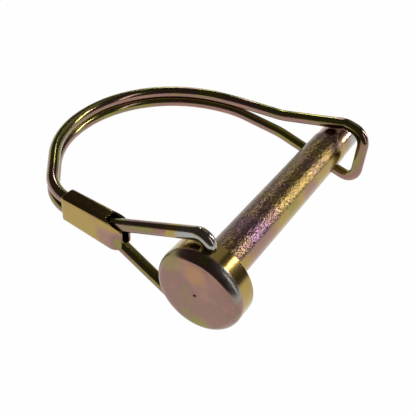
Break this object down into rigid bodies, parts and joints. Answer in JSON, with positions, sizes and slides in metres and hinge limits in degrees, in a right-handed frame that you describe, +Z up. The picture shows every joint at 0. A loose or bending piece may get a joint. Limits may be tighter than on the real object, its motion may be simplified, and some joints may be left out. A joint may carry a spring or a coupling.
{
  "type": "wire lock pin",
  "caption": "Headed pin with a spring wire bail hinged in its head that snaps round the tip and is held together by a crimped sleeve.",
  "frame": {"origin": "middle of the bounding box on the floor that the pin lies on", "axes": "+X along the shank towards its tip, within 5 degrees; +Y towards the loop of the bail; +Z up from the floor, within 9 degrees of the cross hole that the bail turns in"},
  "size_m": [0.077, 0.0724, 0.0272],
  "materials": {
    "plated_pin": "yellow zinc plating with an iridescent bloom, slightly pitted",
    "plated_wire": "yellow zinc plating, glossy, with green and pink bloom",
    "plated_sheet": "yellow zinc plating, satin"
  },
  "bodies": {
    "pin": {"pin": "plated_pin"},
    "bail": {"wire_bail": "plated_wire", "clip": "plated_sheet"}
  },
  "joints": [
    {"name": "bail_swing", "type": "hinge", "parent": "pin", "child": "bail", "pos_m": [-0.03302, -0.02535, 0.0139], "axis": [0.0845, 0.1222, 0.9889], "range_deg": [0, 240], "deforming": ["wire_bail"]}
  ]
}
